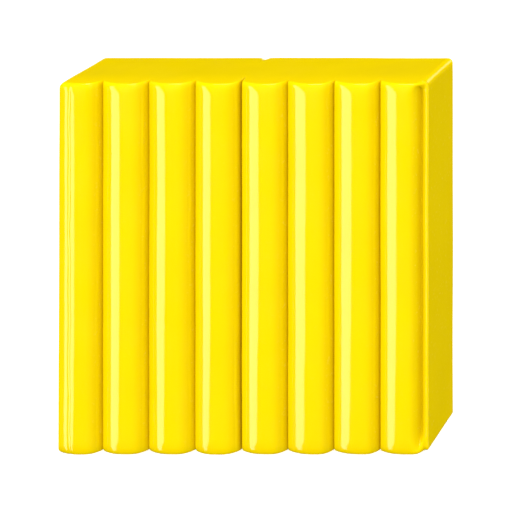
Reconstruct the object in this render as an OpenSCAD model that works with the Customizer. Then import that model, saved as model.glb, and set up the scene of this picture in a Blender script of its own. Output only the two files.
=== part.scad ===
// A block of modelling clay, scored along its front into eight portions that are torn or cut off
// one at a time. Each portion is a strip with a rounded rib on its front and a flat back.
// +Z runs up along the ribs, the ribbed front faces -Y, and the origin is the middle of the bottom.

/* [Block] */
// Width across all eight portions
block_w = 56; // [52:0.1:60]
// Height along the ribs
block_h = 56.6; // [40:0.1:80]
// Thickness from the rib crests to the flat back
block_t = 15; // [12:0.5:20]

/* [Ribs] */
// Width of a rib, from one score line to the next
rib_w = 7.05; // [6.5:0.05:7.2]
// Width of the last rib, which runs out to the right side
last_rib_w = 7.45; // [6.8:0.05:8]
// Depth of a score line below the rib crests
score_depth = 2; // [1:0.05:2.5]
// Extra depth of the middle score line, where the block is halved
middle_extra = 0.35; // [0:0.05:0.6]
// Distance of each crest to the right of its rib's middle
crest_lean = 0.5; // [0:0.05:0.8]

/* [Edges] */
// Rounding of the ribs' top ends
top_r = 0.5; // [0.3:0.1:1.2]
// Rounding of the ribs' bottom ends
bottom_r = 1; // [0.3:0.1:1.6]
// Rounding of the upright edge at the front left
shoulder_r = 0.6; // [0.5:0.1:2]
// Width of the narrow lip beside the last rib
lip_w = 1.3; // [0.6:0.1:1.4]
// Rounding of the lip's upright edge
lip_r = 0.5; // [0.2:0.1:0.6]
// Rounding of the top edges at the left and the right
side_top_r = 1; // [0.3:0.1:1.5]
// Rounding of the other edges
edge_r = 0.4; // [0.3:0.1:1]

/* [Nick] */
// Distance of the nick in the back's top edge from the middle score line
nick_offset = 1.2; // [0.8:0.1:5]
// Width of the nick across the edge
nick_w = 1.3; // [0.6:0.1:1.4]
// Depth of the nick into the back, at the top
nick_depth = 0.8; // [0.3:0.1:1.2]
// How far the nick runs down the back before it dies out
nick_len = 3; // [1:0.5:6]

/* [Hidden] */
$fn = 96;
count = 8;
middle = count / 2;
clay = [1, 0.86, 0.03];
right_x = block_w / 2;
left_x = -right_x;
back_y = block_t / 2;
front_y = -back_y;
over = 1;

// Place of score line k, which lies between portions k and k + 1
function score_x(k) = right_x - last_rib_w - (count - 1 - k) * rib_w;

// Where rib k starts and ends. The left side of the block cuts the first rib short, or the rib widens
// to reach it, and the last one ends at a narrow lip.
function rib_from(k) = k == 1 ? min(score_x(0), left_x) : score_x(k - 1);
function rib_to(k) = k == count ? right_x - lip_w : score_x(k);

// Place of rib k's crest
function crest_x(k) = (rib_from(k) + rib_to(k)) / 2 + crest_lean;

// Depth of score line k below the crests
function depth_at(k) = score_depth + (k == middle ? middle_extra : 0);

// Radius of an arc that falls by depth over a run of w, level where it starts
function arc_radius(w, depth) = (w * w + depth * depth) / (2 * depth);

// What rounding takes off a square corner, whose tip is at the origin and which opens to +X +Y
module corner_waste(r) {
    difference() {
        translate([-over, -over]) square(r + over);
        translate([r, r]) circle(r);
    }
}

// A rectangle with its own rounding at each corner, in the order
// low X low Y, high X low Y, high X high Y, low X high Y. A rounding of 0 leaves the corner square.
module rounded_rectangle(low, high, radii) {
    difference() {
        translate(low) square(high - low);
        if (radii[0] > 0) translate(low) corner_waste(radii[0]);
        if (radii[1] > 0) translate([high[0], low[1]]) mirror([1, 0]) corner_waste(radii[1]);
        if (radii[2] > 0) translate(high) rotate(180) corner_waste(radii[2]);
        if (radii[3] > 0) translate([low[0], high[1]]) mirror([0, 1]) corner_waste(radii[3]);
    }
}

// The whole block seen from above, before the ribs are shaped, with its upright edges rounded and the
// lip set back to the depth of the score lines
module plan_outline() {
    lip_y = front_y + score_depth;
    difference() {
        rounded_rectangle([left_x, front_y], [right_x, back_y], [shoulder_r, 0, edge_r, edge_r]);
        translate([right_x - lip_w, front_y - over]) square([lip_w + over, score_depth + over]);
        translate([right_x, lip_y]) mirror([1, 0]) corner_waste(lip_r);
    }
}

// The whole block seen from the side: X here is the block's Y, and Y here is its Z
module side_outline() {
    rounded_rectangle([front_y, 0], [back_y, block_h], [bottom_r, edge_r, edge_r, top_r]);
}

// The whole block seen from the front: Y here is the block's Z
module front_outline() {
    rounded_rectangle([left_x, 0], [right_x, block_h], [edge_r, edge_r, side_top_r, side_top_r]);
}

// One half of a rib and the clay behind it, seen from above: an arc from the crest to the score line
module half_plan(from_x, to_x, depth) {
    w = abs(to_x - from_x);
    r = arc_radius(w, depth);
    low_x = min(from_x, to_x);
    intersection() {
        translate([low_x, front_y]) square([w, block_t]);
        union() {
            translate([from_x, front_y + r]) circle(r);
            translate([low_x - over, front_y + r]) square([w + 2 * over, block_t]);
        }
    }
}

// Portion k seen from above. The last one has the lip as well.
module portion_plan(k) {
    intersection() {
        plan_outline();
        union() {
            half_plan(crest_x(k), rib_from(k), depth_at(k - 1));
            half_plan(crest_x(k), rib_to(k), depth_at(k));
            if (k == count) translate([crest_x(k), front_y + score_depth]) square(block_t);
        }
    }
}

// Portion k, rounded along its top and bottom ends and, at the block's sides, along those edges too
module portion(k) {
    intersection() {
        linear_extrude(block_h) portion_plan(k);
        translate([left_x, 0, 0]) rotate([90, 0, 90]) linear_extrude(block_w) side_outline();
        translate([0, back_y, 0]) rotate([90, 0, 0]) linear_extrude(block_t) front_outline();
    }
}

// The wedge that the nick takes out of the back's top edge. It leans back until it leaves the clay.
module nick_wedge() {
    slope = atan2(nick_depth, nick_len);
    reach = nick_len + over;
    translate([score_x(middle) - nick_offset, back_y - nick_depth, block_h])
        rotate([slope, 0, 0])
            translate([0, 0, -reach])
                linear_extrude(2 * reach)
                    polygon([[0, 0], [nick_w, 2 * nick_depth], [-nick_w, 2 * nick_depth]]);
}

module portion_1() {
    color(clay) portion(1);
}

module portion_2() {
    color(clay) portion(2);
}

module portion_3() {
    color(clay) portion(3);
}

// The portion left of the middle score line, with the nick in its back
module portion_4() {
    color(clay) difference() {
        portion(4);
        nick_wedge();
    }
}

module portion_5() {
    color(clay) portion(5);
}

module portion_6() {
    color(clay) portion(6);
}

module portion_7() {
    color(clay) portion(7);
}

module portion_8() {
    color(clay) portion(8);
}

portion_1();
portion_2();
portion_3();
portion_4();
portion_5();
portion_6();
portion_7();
portion_8();
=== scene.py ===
"""The looks of a block of modelling clay, scored into eight portions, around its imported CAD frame.

The block's lengths are in millimetres and become metres where its mesh is made. The studio's lamps
and card are placed in metres.
"""

from math import acos, cos, exp, pi, radians, sin, sqrt

import bpy
from mathutils import Matrix, Vector, noise


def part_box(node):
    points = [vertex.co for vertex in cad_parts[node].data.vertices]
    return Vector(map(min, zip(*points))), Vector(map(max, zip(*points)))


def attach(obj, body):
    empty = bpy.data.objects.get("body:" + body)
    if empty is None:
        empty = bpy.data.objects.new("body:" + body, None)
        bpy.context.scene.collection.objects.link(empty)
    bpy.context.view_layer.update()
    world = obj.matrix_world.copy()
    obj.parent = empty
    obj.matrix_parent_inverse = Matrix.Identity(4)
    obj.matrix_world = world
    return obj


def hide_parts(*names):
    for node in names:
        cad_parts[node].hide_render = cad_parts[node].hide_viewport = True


MM = 0.001
COUNT = 8

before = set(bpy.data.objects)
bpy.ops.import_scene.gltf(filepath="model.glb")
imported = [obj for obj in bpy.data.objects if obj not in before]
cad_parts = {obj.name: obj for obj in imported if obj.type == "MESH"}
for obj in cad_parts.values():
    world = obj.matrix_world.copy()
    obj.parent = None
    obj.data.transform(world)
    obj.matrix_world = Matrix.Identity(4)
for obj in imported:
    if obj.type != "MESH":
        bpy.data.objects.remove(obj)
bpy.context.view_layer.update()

# --- Sizes, in millimetres -----------------------------------------------------------------------

nodes = ["portion_%d" % k for k in range(1, COUNT + 1)]
boxes = {name: [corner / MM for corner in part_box(name)] for name in nodes}
MIDDLE = COUNT // 2  # the number of the middle score line, and of the portion on its left
LEFT_X = boxes[nodes[0]][0].x
RIGHT_X = boxes[nodes[-1]][1].x
FRONT_Y = boxes[nodes[MIDDLE - 1]][0].y
BACK_Y = boxes[nodes[MIDDLE - 1]][1].y
HEIGHT = boxes[nodes[MIDDLE - 1]][1].z
SCORE_X = [boxes[name][1].x for name in nodes[:-1]]

SCORE_DEPTH = 2.0  # of a score line, below the crests, as the rib on its left runs into it
START_DEPTH = 1.65  # where the rib on its right starts
FALL_POWER = 3.8  # how much a rib's right half steepens towards the score line, 2 being a parabola
MIDDLE_EXTRA = 1.4  # by which the middle score line is cut deeper
RIB_WIDTH = 7.05  # of a whole rib, while the block's left side cuts the first one short
LIP_WIDTH = 1.25  # beside the last rib
LEANS = (0.5, 0.35, 0.25, 0.15, 0.65, 0.95, 0.95, 1.15)  # of each crest, to the right of its rib's middle
LIP_SWELL = 0.4  # of the lip's rim above the score line beside it
LIP_R = 0.16  # of the upright edge at the front right
SHOULDER_R = 0.6  # of the upright edge at the front left
CORNER_R = 0.4  # of the upright edges at the back

# How far each kind of edge is rounded off: inwards and along the height, at the bottom and at the top.
CREST_END = (0.6, 2.4, 0.5, 1.6)
VALLEY_END = (0.55, 0.8, 0.4, 0.5)
LIP_END = (0.6, 0.9, 0.25, 0.5)
SIDE_END = (0.4, 0.4, 1.0, 1.0)
BACK_END = (0.25, 0.25, 0.3, 0.3)

SIDE_SPAN = 4  # how far in from the sides their rounding is taken up

# --- Mesh resolution -----------------------------------------------------------------------------

COLUMNS = 64  # across one rib
DEEP = 16  # from the front to the back
ROWS = 70  # up the straight part of a rib
LIP_STEPS = 12  # across the lip, as part of the last rib's columns
TURN = 10  # round one rounded edge
HALF_TURN = 4  # round half of an upright edge
CROWD = 0.75  # how much closer the columns are near a rib's edges
ROW_CROWD = 0.6  # how much closer the rows are near the bottom and the top
CAP_POWER = 4  # how fast the bottom's and the top's inner points stop following a side

BOTTOM_EDGE, STRAIGHT_PART, TOP_EDGE = range(3)  # the zones of a portion's height


def mix(a, b, t):
    return a + (b - a) * t


def mix_all(a, b, t):
    return tuple(mix(p, q, t) for p, q in zip(a, b))


def bell(distance, width):
    return exp(-((distance / width) ** 2))


def spread(steps, crowd=CROWD):
    """Fractions from 0 to 1, closer together near both ends. crowd 0 spaces them evenly."""
    return [i / steps - crowd * sin(2 * pi * i / steps) / (2 * pi) for i in range(steps + 1)]


def arc_radius(width, depth):
    """Radius of an arc that starts level and falls by depth over a run of width."""
    return (width * width + depth * depth) / (2 * depth)


DEPTHS = spread(DEEP)  # fractions of the way from the front to the back

# --- The outline of one portion, seen from above -------------------------------------------------


def near_left(x):
    """1 on the left side, falling to 0 at SIDE_SPAN from it."""
    return max(0, 1 - (x - LEFT_X) / SIDE_SPAN) ** 2


def near_right(x):
    """1 on the right side, falling to 0 at SIDE_SPAN from it."""
    return max(0, 1 - (RIGHT_X - x) / SIDE_SPAN) ** 2


class Spot:
    """A point of the outline. out is the way outwards from it along Y, from -1 to 1, and ends is how
    its bottom and its top edge round off.
    """

    def __init__(self, x, y, out, ends):
        self.x, self.y, self.out, self.ends = x, y, out, ends

    def at(self, level):
        """The surface at one level, which is a zone of the height and a place in it. The place is a
        fraction in the straight part and an angle in an edge.
        """
        zone, t = level
        low_in, low_up, high_in, high_up = self.ends
        if zone == STRAIGHT_PART:
            return Vector((self.x, self.y, mix(low_up, HEIGHT - high_up, t)))
        fall = 1 - sin(t)
        if zone == BOTTOM_EDGE:
            inset, side_inset, z = low_in * fall, SIDE_END[0] * fall, low_up * (1 - cos(t))
        else:
            inset, side_inset, z = high_in * fall, SIDE_END[2] * fall, HEIGHT - high_up * (1 - cos(t))
        sideways = near_right(self.x) - near_left(self.x)
        return Vector((self.x - sideways * side_inset, self.y - self.out * inset, z))


class Rib:
    """The rounded front of portion k: an arc up to the crest, then a fall that steepens to the right."""

    def __init__(self, k):
        low, high = boxes[nodes[k - 1]]
        self.k, self.low_x, self.high_x = k, low.x, high.x
        start = self.high_x - RIB_WIDTH if k == 1 else self.low_x
        self.end = self.high_x - LIP_WIDTH if k == COUNT else self.high_x
        self.crest = (start + self.end) / 2 + LEANS[k - 1]
        self.left_r = arc_radius(self.crest - start, START_DEPTH)

    def drop(self, x):
        """How far the surface is below the crest."""
        if x < self.crest:
            return self.left_r - sqrt(self.left_r**2 - (x - self.crest) ** 2)
        return SCORE_DEPTH * ((x - self.crest) / (self.end - self.crest)) ** FALL_POWER

    def spot(self, x):
        ends = mix_all(CREST_END, VALLEY_END, sqrt(min(1, max(0, self.drop(x)) / SCORE_DEPTH)))
        return Spot(x, FRONT_Y + self.drop(x), -1, ends)

    def spots(self, from_x, to_x, steps):
        return [self.spot(mix(from_x, to_x, t)) for t in spread(steps)]


def side_end(front_end):
    """How the edge ends where a front or a back end meets the side, which has an inset of its own."""
    return front_end[0], SIDE_END[1], front_end[2], SIDE_END[3]


def corner(centre, r, from_angle, to_angle, from_ends, to_ends, out=None):
    """Half of a rounded upright edge. Angles in radians, from +X towards +Y. A given out serves a corner
    that is sharper than its ends are rounded off, which moves in along Y as a whole.
    """
    spots = []
    for i in range(HALF_TURN + 1):
        t = i / HALF_TURN
        a = mix(from_angle, to_angle, t)
        ends = mix_all(from_ends, to_ends, t)
        outwards = sin(a) if out is None else out
        spots.append(Spot(centre[0] + r * cos(a), centre[1] + r * sin(a), outwards, ends))
    return spots


def left_corner(rib):
    """The upright edge at the front left, which the first rib's arc runs into, as its half on the front
    and its half on the side. Both start in the middle of the edge.
    """
    reach = rib.left_r - SHOULDER_R
    centre_x = rib.low_x + SHOULDER_R
    centre_y = FRONT_Y + rib.left_r - sqrt(reach**2 - (rib.crest - centre_x) ** 2)
    meet = pi + acos((rib.crest - centre_x) / reach)
    middle = (pi + meet) / 2
    rib_end = rib.spot(centre_x + SHOULDER_R * cos(meet)).ends
    halfway = mix_all(rib_end, side_end(rib_end), 0.5)
    centre = (centre_x, centre_y)
    on_front = corner(centre, SHOULDER_R, middle, meet, halfway, rib_end, -1)
    on_side = corner(centre, SHOULDER_R, middle, pi, halfway, side_end(rib_end), -1)
    return on_front, on_side


def right_corner(rib):
    """The upright edge at the front right, of the lip's rim, as its half on the front and its half on
    the side. Both start in the middle of the edge.
    """
    centre = (rib.high_x - LIP_R, FRONT_Y + SCORE_DEPTH - LIP_SWELL + LIP_R)
    halfway = mix_all(LIP_END, side_end(LIP_END), 0.5)
    on_front = corner(centre, LIP_R, -0.25 * pi, -0.5 * pi, halfway, LIP_END, -1)
    on_side = corner(centre, LIP_R, -0.25 * pi, 0, halfway, side_end(LIP_END), -1)
    return on_front, on_side


def back_corner(x, inwards):
    """An upright edge at the back, as its half on the side and its half on the back. Both end in the
    middle of the edge.
    """
    centre = (x + inwards * CORNER_R, BACK_Y - CORNER_R)
    side = pi if inwards > 0 else 0
    middle = (side + 0.5 * pi) / 2
    halfway = mix_all(side_end(BACK_END), BACK_END, 0.5)
    on_side = corner(centre, CORNER_R, side, middle, side_end(BACK_END), halfway)
    on_back = corner(centre, CORNER_R, 0.5 * pi, middle, BACK_END, halfway)
    return on_side, on_back


def straight(first, last, steps):
    """Spots between two others, without either of them."""
    return [
        Spot(
            mix(first.x, last.x, t),
            mix(first.y, last.y, t),
            mix(first.out, last.out, t),
            mix_all(first.ends, last.ends, t),
        )
        for t in spread(steps)[1:-1]
    ]


def lip_spots(rib):
    """The lip beside the last rib, which swells from the score line to a rim at the right side."""
    spots = []
    for t in spread(LIP_STEPS, crowd=0)[1:]:
        swell = LIP_SWELL * sin(0.5 * pi * t**1.5)
        x = mix(rib.end, rib.high_x - LIP_R, t)
        spots.append(Spot(x, FRONT_Y + SCORE_DEPTH - swell, -1, mix_all(VALLEY_END, LIP_END, t)))
    return spots


def first_outline(rib):
    """The front, the right, the back and the left of the first portion."""
    on_front, on_left = left_corner(rib)
    on_side, on_back = back_corner(rib.low_x, 1)
    back_right = Spot(rib.high_x, BACK_Y, 1, BACK_END)
    front = on_front + rib.spots(on_front[-1].x, rib.high_x, COLUMNS - HALF_TURN)[1:]
    left = on_left + straight(on_left[-1], on_side[0], DEEP - 2 * HALF_TURN) + on_side
    back = on_back[::-1] + straight(on_back[0], back_right, COLUMNS - HALF_TURN) + [back_right]
    return front, None, back, left


def last_outline(rib):
    """The front, the right, the back and the left of the last portion."""
    on_front, on_right = right_corner(rib)
    on_side, on_back = back_corner(rib.high_x, -1)
    back_left = Spot(rib.low_x, BACK_Y, 1, BACK_END)
    front = rib.spots(rib.low_x, rib.end, COLUMNS - HALF_TURN - LIP_STEPS)
    front += lip_spots(rib) + on_front[-2::-1]
    right = on_right + straight(on_right[-1], on_side[0], DEEP - 2 * HALF_TURN) + on_side
    back = [back_left] + straight(back_left, on_back[0], COLUMNS - HALF_TURN) + on_back
    return front, right, back, None


def outline(rib):
    """The front, the right, the back and the left of a portion, corners included. Front and back run to
    +X, left and right to +Y. A side that touches a neighbour is left out.
    """
    if rib.k == 1:
        return first_outline(rib)
    if rib.k == COUNT:
        return last_outline(rib)
    front = rib.spots(rib.low_x, rib.high_x, COLUMNS)
    back = [Spot(spot.x, BACK_Y, 1, BACK_END) for spot in front]
    return front, None, back, None


# --- Marks on the front --------------------------------------------------------------------------

CRACK_DEPTH = 0.12  # of the thin cut at the bottom of each score line
CRACK_WIDTH = 0.13
RIDGE_HEIGHT = 0.07  # of the burr that the blade left beside the cut
RIDGE_OFFSET = 0.42  # to the left of the cut
RIDGE_WIDTH = 0.13
RIDGE_DRIFT = 0.12
RIDGE_WAVE = 9  # how far up it takes to come or go
FOLD_DEPTH = 0.35  # of the fold between the last rib and its lip
FOLD_WIDTH = 0.28
END_LIP_WIDTH = 0.5  # of the lip at the block's ends, where the fold has run out
END_POWER = 5  # how late the last rib falls to the lip there
END_SPAN = (1.6, 1.0)  # how far that reaches from the bottom and from the top
CREASE_OFFSET = 1.3  # of the faint crease in the first rib, left of its crest
CREASE_DEPTH = 0.09
CREASE_WIDTH = 0.25
CREASE_DRIFT = 0.2
CREASE_SEED = 9
WANDER_WAVE = 6  # how far up a line takes to drift from one side to the other


def wander(z, seed, size):
    """A line's sideways drift along the height."""
    return noise.noise(Vector((seed * 11.3, 0, z / WANDER_WAVE))) * size


def ridge_height(z, number):
    """Height of the burr beside score line number, which comes and goes along it."""
    return RIDGE_HEIGHT * (0.9 + 1.2 * noise.noise(Vector((number * 5.1, 3, z / RIDGE_WAVE))))


def cut(x, z, k):
    """How far portion k's front sinks beside its score lines, at their crack and ridge."""
    sink = 0
    for number in (k - 1, k):
        if not 0 < number < COUNT:
            continue
        line_x = SCORE_X[number - 1]
        bottom = SCORE_DEPTH + CRACK_DEPTH + (MIDDLE_EXTRA if number == MIDDLE else 0)
        bank = START_DEPTH if number < k else SCORE_DEPTH
        sink += (bottom - bank) * bell(x - line_x, CRACK_WIDTH)
        if number == k:
            ridge_x = line_x - RIDGE_OFFSET + wander(z, number, RIDGE_DRIFT)
            sink -= ridge_height(z, number) * bell(x - ridge_x, RIDGE_WIDTH)
    return sink


def crease(rib, x, z):
    """How far the first rib sinks in its faint upright crease."""
    crease_x = rib.crest - CREASE_OFFSET + wander(z, CREASE_SEED, CREASE_DRIFT)
    return CREASE_DEPTH * bell(x - crease_x, CREASE_WIDTH)


def fold(rib, spot, z):
    """How far the last rib sinks in the upright fold between it and its lip. The fold runs out at the
    block's ends, where the rib is fuller and falls straight to the lip's rim.
    """
    if not rib.crest < spot.x < rib.high_x - LIP_R:
        return 0
    at_ends = max(bell(z, END_SPAN[0]), bell(z - HEIGHT, END_SPAN[1]))
    run = (spot.x - rib.crest) / (rib.high_x - END_LIP_WIDTH - rib.crest)
    fuller = FRONT_Y + (SCORE_DEPTH - LIP_SWELL) * min(1, run) ** END_POWER
    return mix(FOLD_DEPTH * bell(spot.x - rib.end, FOLD_WIDTH), fuller - spot.y, at_ends)


def front_point(rib, spot, level):
    """The front's surface at one spot and level, with its marks."""
    point = spot.at(level)
    point.y += cut(point.x, point.z, rib.k)
    if rib.k == 1:
        point.y += crease(rib, point.x, point.z)
    if rib.k == COUNT:
        point.y += fold(rib, spot, point.z)
    return point


# --- Changes to the whole block's shape ----------------------------------------------------------

SAG = 0.22  # of the top's front edge
SAG_SPAN = 5  # how far back it reaches
SAG_FALL = 3  # how far down it reaches
BULGE = 0.18  # of the left side, at three tenths of its height
NICK_X = SCORE_X[MIDDLE - 1] - 1.2  # of the nick in the top edge at the back
NICK_WIDTH = 0.5
NICK_DEPTH = 0.25
NICK_REACH = 0.9  # down the back and forward on the top
BROAD_SIZE = 0.05  # of the unevenness that hand and mould leave
BROAD_WAVES = (9, 9, 16)  # along X, Y and Z
FINE_SIZE = 0.01
FINE_WAVES = (2.6, 2.6, 7)
FINE_START = 7  # in the noise, away from where the broad one starts
SEED = 1

noise.seed_set(SEED)  # or noise_vector gives other values each time that Blender starts


def sag(p):
    """How far the top sinks towards the front."""
    forward = max(0, (FRONT_Y + SAG_SPAN - p.y) / SAG_SPAN)
    return SAG * forward**2 * bell(p.z - HEIGHT, SAG_FALL)


def bulge(p):
    """How far the left side stands out, more towards the bottom."""
    return BULGE * near_left(p.x) * (1.3 - p.z / HEIGHT)


def nick(p):
    """How deep the nick in the top edge at the back is."""
    return (
        NICK_DEPTH
        * bell(p.x - NICK_X, NICK_WIDTH)
        * bell(p.y - BACK_Y, NICK_REACH)
        * bell(p.z - HEIGHT, NICK_REACH)
    )


def waves_at(p, waves, start):
    return noise.noise_vector(Vector((p.x / waves[0] + start, p.y / waves[1], p.z / waves[2])))


def unevenness(p):
    """How far hand and mould leave the clay from its ideal shape."""
    return waves_at(p, BROAD_WAVES, 0) * BROAD_SIZE + waves_at(p, FINE_WAVES, FINE_START) * FINE_SIZE


# --- Meshes --------------------------------------------------------------------------------------


def row_levels():
    """The level of each row of points, from the bottom to the top."""
    levels = [(BOTTOM_EDGE, 0.5 * pi * i / TURN) for i in range(TURN)]
    levels += [(STRAIGHT_PART, t) for t in spread(ROWS, ROW_CROWD)]
    levels += [(TOP_EDGE, 0.5 * pi * (TURN - i) / TURN) for i in range(1, TURN + 1)]
    return levels


def add_walls(points, rib, walls, row, level):
    """One row of points round a portion. A side that the outline leaves out is flat."""
    front, right, back, left = walls
    for i in range(COLUMNS + 1):
        points[i, 0, row] = front_point(rib, front[i], level)
        points[i, DEEP, row] = back[i].at(level)
    for i, side in ((0, left), (COLUMNS, right)):
        for j in range(1, DEEP):
            if side:
                points[i, j, row] = side[j].at(level)
            else:
                points[i, j, row] = points[i, 0, row].lerp(points[i, DEEP, row], DEPTHS[j])


def side_bend(points, i, j, row):
    """How far a side's point is from the straight line between the side's front and back."""
    return points[i, j, row] - points[i, 0, row].lerp(points[i, DEEP, row], DEPTHS[j])


def add_cap(points, row):
    """The points inside the bottom or the top. They follow the sides where they are near them."""
    for i in range(1, COLUMNS):
        u = i / COLUMNS
        for j in range(1, DEEP):
            bend = side_bend(points, 0, j, row) * (1 - u) ** CAP_POWER
            bend += side_bend(points, COLUMNS, j, row) * u**CAP_POWER
            points[i, j, row] = points[i, 0, row].lerp(points[i, DEEP, row], DEPTHS[j]) + bend


def shell_points(k):
    """Every point of portion k's surface by its column, depth and row, and the number of the last row."""
    rib = Rib(k)
    walls = outline(rib)
    points = {}
    levels = row_levels()
    for row, level in enumerate(levels):
        add_walls(points, rib, walls, row, level)
    last = len(levels) - 1
    add_cap(points, 0)
    add_cap(points, last)
    for point in points.values():
        point.z -= nick(point) + sag(point)
        point.x -= bulge(point)
        point += unevenness(point)
    return points, last


def shell_faces(last):
    """The quads of the box grid, and which of them are on the left and on the right."""
    quads, sides = [], {"left": set(), "right": set()}
    c = COLUMNS
    for row in range(last):
        up = row + 1
        for i in range(c):
            quads.append([(i, 0, row), (i + 1, 0, row), (i + 1, 0, up), (i, 0, up)])
            quads.append([(i + 1, DEEP, row), (i, DEEP, row), (i, DEEP, up), (i + 1, DEEP, up)])
        for j in range(DEEP):
            sides["left"].add(len(quads))
            quads.append([(0, j + 1, row), (0, j, row), (0, j, up), (0, j + 1, up)])
            sides["right"].add(len(quads))
            quads.append([(c, j, row), (c, j + 1, row), (c, j + 1, up), (c, j, up)])
    for i in range(c):
        for j in range(DEEP):
            quads.append([(i, j, last), (i + 1, j, last), (i + 1, j + 1, last), (i, j + 1, last)])
            quads.append([(i, j + 1, 0), (i + 1, j + 1, 0), (i + 1, j, 0), (i, j, 0)])
    return quads, sides


def sharpen_border(mesh, inner):
    """Marks the edges between the inner faces and the others as sharp."""
    inner_edges, outer_edges = set(), set()
    for polygon in mesh.polygons:
        edges = inner_edges if polygon.index in inner else outer_edges
        edges.update(polygon.edge_keys)
    border = inner_edges & outer_edges
    for edge in mesh.edges:
        edge.use_edge_sharp = edge.key in border


def make_portion(k):
    """One closed shell. Its faces towards its neighbours keep sharp borders, all else is smooth."""
    points, last = shell_points(k)
    quads, sides = shell_faces(last)
    number = {key: n for n, key in enumerate(points)}
    name = "clay_portion_%d" % k
    mesh = bpy.data.meshes.new(name)
    mesh.from_pydata([p * MM for p in points.values()], [], [[number[c] for c in q] for q in quads])
    mesh.polygons.foreach_set("use_smooth", [True] * len(quads))
    inner = (sides["left"] if k > 1 else set()) | (sides["right"] if k < COUNT else set())
    sharpen_border(mesh, inner)
    mesh.update()
    piece = bpy.data.objects.new(name, mesh)
    bpy.context.scene.collection.objects.link(piece)
    return piece


# --- Material nodes ------------------------------------------------------------------------------


def place_node(tree):
    """The texture coordinates that every texture of this material shares."""
    name = "piece_space"
    if name not in tree.nodes:
        tree.nodes.new("ShaderNodeTexCoord").name = name
    return tree.nodes[name]


def add_noise(tree, scale, detail):
    """Noise in the piece's own space. The scale is in waves per metre."""
    noise_node = tree.nodes.new("ShaderNodeTexNoise")
    noise_node.inputs["Scale"].default_value = scale
    noise_node.inputs["Detail"].default_value = detail
    tree.links.new(place_node(tree).outputs["Object"], noise_node.inputs["Vector"])
    return noise_node.outputs["Fac"]


def add_range(tree, value, low, high, to_low, to_high):
    """Maps a value from low..high to to_low..to_high, and holds it there outside."""
    node = tree.nodes.new("ShaderNodeMapRange")
    for socket, number in zip(("From Min", "From Max", "To Min", "To Max"), (low, high, to_low, to_high)):
        node.inputs[socket].default_value = number
    tree.links.new(value, node.inputs["Value"])
    return node.outputs["Result"]


def add_math(tree, operation, first, second):
    node = tree.nodes.new("ShaderNodeMath")
    node.operation = operation
    tree.links.new(first, node.inputs[0])
    tree.links.new(second, node.inputs[1])
    return node.outputs["Value"]


def add_mix(tree, factor, first, second):
    """Mixes two colours. The first is a colour or the output of another mix."""
    node = tree.nodes.new("ShaderNodeMix")
    node.data_type = "RGBA"
    tree.links.new(factor, node.inputs["Factor"])
    if isinstance(first, tuple):
        node.inputs["A"].default_value = first
    else:
        tree.links.new(first, node.inputs["A"])
    node.inputs["B"].default_value = second
    return node.outputs["Result"]


# --- Clay ----------------------------------------------------------------------------------------

CLAY_COLOUR = (0.775, 0.567, 0.0, 1)
CLAY_CLOUD = (0.76, 0.553, 0.0, 1)
CLAY_SPECK = (0.81, 0.6, 0.03, 1)
CLAY_ROUGHNESS = (0.075, 0.12)
LEFT_DULLNESS = 0.45  # added to the roughness
GRAIN_HEIGHT = 0.006  # in millimetres


def clay_colour(tree, rightwards):
    """Faint clouds, and pale specks that are thickest on the right side."""
    clouds = add_range(tree, add_noise(tree, 130, 3), 0.35, 0.65, 0, 1)
    specks = add_range(tree, add_noise(tree, 1900, 2), 0.6, 0.75, 0, 1)
    on_right = add_range(tree, rightwards, 0.6, 0.95, 0.1, 1)
    specks = add_math(tree, "MULTIPLY", specks, on_right)
    colour = add_mix(tree, clouds, CLAY_COLOUR, CLAY_CLOUD)
    return add_mix(tree, specks, colour, CLAY_SPECK)


def clay_roughness(tree, rightwards):
    """Smears of more and less gloss, and a duller left side."""
    gloss = add_range(tree, add_noise(tree, 220, 4), 0.3, 0.7, *CLAY_ROUGHNESS)
    on_left = add_range(tree, rightwards, -0.98, -0.995, 0, LEFT_DULLNESS)
    return add_math(tree, "ADD", gloss, on_left)


def clay_grain(tree):
    """A fine bump."""
    bump = tree.nodes.new("ShaderNodeBump")
    bump.inputs["Strength"].default_value = 0.5
    bump.inputs["Distance"].default_value = GRAIN_HEIGHT * MM
    tree.links.new(add_noise(tree, 1400, 3), bump.inputs["Height"])
    return bump.outputs["Normal"]


def clay_material():
    """Soft, slightly waxy clay."""
    material = bpy.data.materials.new("modelling_clay")
    material.use_nodes = True
    tree = material.node_tree
    shader = tree.nodes["Principled BSDF"]
    split = tree.nodes.new("ShaderNodeSeparateXYZ")
    tree.links.new(place_node(tree).outputs["Normal"], split.inputs["Vector"])
    rightwards = split.outputs["X"]
    tree.links.new(clay_colour(tree, rightwards), shader.inputs["Base Color"])
    tree.links.new(clay_roughness(tree, rightwards), shader.inputs["Roughness"])
    tree.links.new(clay_grain(tree), shader.inputs["Normal"])
    shader.inputs["IOR"].default_value = 1.46
    return material


# --- The studio ----------------------------------------------------------------------------------

BLOCK_MIDDLE = Vector((0, 0, HEIGHT / 2 * MM))

# The key card's corners, as azimuths and elevations. It is straight on its left and bowed on its right.
KEY_SHAPE = [
    (-66, 16),
    (-66, -44),
    (-54, -44),
    (-49, -33),
    (-42, -26),
    (-37, -20),
    (-37, -12),
    (-43, -3),
    (-50, 8),
    (-54, 16),
]


def direction(azimuth, elevation):
    """Out from the block. Azimuth 0 is in front and 90 on the right. Angles in degrees."""
    a, e = radians(azimuth), radians(elevation)
    return Vector((sin(a) * cos(e), -cos(a) * cos(e), sin(e)))


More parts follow.
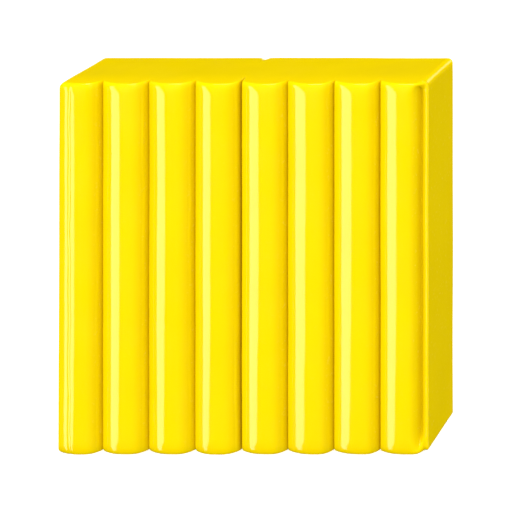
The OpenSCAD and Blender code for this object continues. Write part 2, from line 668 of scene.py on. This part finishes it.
def make_floor():
    """A plain white floor, which neither lights the block nor shows in it."""
    bpy.ops.mesh.primitive_plane_add(size=8)
    floor = bpy.context.object
    floor.name = "floor"
    material = bpy.data.materials.new("white_sweep")
    material.use_nodes = True
    shader = material.node_tree.nodes["Principled BSDF"]
    shader.inputs["Base Color"].default_value = (0.9, 0.9, 0.9, 1)
    shader.inputs["Roughness"].default_value = 0.9
    shader.inputs["Specular IOR Level"].default_value = 0
    shader.inputs["Emission Color"].default_value = (1, 1, 1, 1)
    shader.inputs["Emission Strength"].default_value = 0.4
    floor.data.materials.append(material)
    floor.visible_glossy = False
    floor.visible_diffuse = False
    floor.visible_shadow = False


def make_world():
    """A white room, darker far below, that leaves the block's reflections to the card and the lamps."""
    world = bpy.data.worlds.new("studio")
    world.use_nodes = True
    background = world.node_tree.nodes["Background"]
    background.inputs["Color"].default_value = (1, 1, 1, 1)
    place = world.node_tree.nodes.new("ShaderNodeTexCoord")
    split = world.node_tree.nodes.new("ShaderNodeSeparateXYZ")
    world.node_tree.links.new(place.outputs["Generated"], split.inputs["Vector"])
    strength = add_range(world.node_tree, split.outputs["Z"], -0.8, -0.5, 0.1, 1)
    world.node_tree.links.new(strength, background.inputs["Strength"])
    world.cycles_visibility.glossy = False
    bpy.context.scene.world = world


def make_softbox(name, azimuth, elevation, distance, size, brightness, shines=True):
    """A rectangular lamp that faces the block's middle. Distance and size are in metres.
    Brightness is what it shows to a viewer, 1 being white. One that doesn't shine stays out of the
    reflections.
    """
    lamp = bpy.data.lights.new(name, "AREA")
    lamp.shape = "RECTANGLE"
    lamp.size, lamp.size_y = size
    lamp.energy = brightness * pi * size[0] * size[1]
    stand = bpy.data.objects.new(name, lamp)
    stand.visible_glossy = shines
    bpy.context.scene.collection.objects.link(stand)
    out = direction(azimuth, elevation)
    stand.location = BLOCK_MIDDLE + out * distance
    stand.rotation_euler = out.to_track_quat("Z", "Y").to_euler()


def make_card(name, corners, distance, brightness):
    """A glowing card that only reflections see. Its corners are azimuths and elevations, in degrees."""
    material = bpy.data.materials.new(name)
    material.use_nodes = True
    shader = material.node_tree.nodes["Principled BSDF"]
    shader.inputs["Base Color"].default_value = (0, 0, 0, 1)
    shader.inputs["Emission Color"].default_value = (1, 1, 1, 1)
    shader.inputs["Emission Strength"].default_value = brightness
    mesh = bpy.data.meshes.new(name)
    points = [BLOCK_MIDDLE + direction(azimuth, elevation) * distance for azimuth, elevation in corners]
    mesh.from_pydata(points, [], [list(range(len(points)))])
    mesh.materials.append(material)
    card = bpy.data.objects.new(name, mesh)
    bpy.context.scene.collection.objects.link(card)
    card.visible_camera = False
    card.visible_diffuse = False
    card.visible_shadow = False


def make_lights():
    """The card draws the highlights on the ribs. The fills light the clay without a reflection, and the
    lamps after them also shine in the other sides.
    """
    make_card("key_card", KEY_SHAPE, 0.5, 3.7)
    make_softbox("left_fill", -32, 8, 1.0, (0.8, 0.8), 1.65, shines=False)
    make_softbox("front_fill", 15, 30, 1.0, (1.0, 0.8), 2.1, shines=False)
    make_softbox("right_fill", 115, 30, 1.0, (0.9, 0.8), 1.0, shines=False)
    make_softbox("top", -20, 70, 0.6, (0.3, 0.3), 3.6)
    make_softbox("right_strip", 130, -5, 0.6, (0.3, 0.5), 1.1)
    make_softbox("rim", 157, 19, 0.6, (0.16, 0.16), 1.1)
    make_softbox("back_strip", 199, 0, 0.8, (0.4, 0.25), 1.0)


def make_camera():
    """A view camera: its film stays parallel to the block's front while its lens is off to the right
    and above, so that the ribs stay upright and the top and the right side still show. The lens shift
    is 0. The shear is in the camera's place under its stand, so a view that takes the camera off its
    stand is an ordinary one without the shear.
    """
    eye = Vector((122.8, -320.8, 142.35)) * MM
    aim = Vector((-0.38444, 1.0, -0.35741)).normalized()
    stand = bpy.data.objects.new("camera_stand", None)
    bpy.context.scene.collection.objects.link(stand)
    data = bpy.data.cameras.new("camera")
    data.sensor_width = 36
    # The lens is this far from the film square to it, and further along the slanted line of sight.
    data.lens = 145.15 / aim.y
    camera = bpy.data.objects.new("camera", data)
    bpy.context.scene.collection.objects.link(camera)
    camera.parent = stand
    across, up, behind = Vector((1, 0, 0)), Vector((0, 0, 1)), -aim
    axes = Matrix((across, up, behind)).transposed().to_4x4()
    camera.matrix_parent_inverse = Matrix.Translation(eye) @ axes
    bpy.context.scene.camera = camera


# --- Build ---------------------------------------------------------------------------------------


def build_block():
    """The eight portions, each in the place of its CAD node."""
    clay = clay_material()
    for k, node in enumerate(nodes, start=1):
        piece = make_portion(k)
        piece.data.materials.append(clay)
        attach(piece, "root")
        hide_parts(node)


make_camera()
build_block()
make_floor()
make_world()
make_lights()
bpy.context.scene.view_settings.view_transform = "Standard"
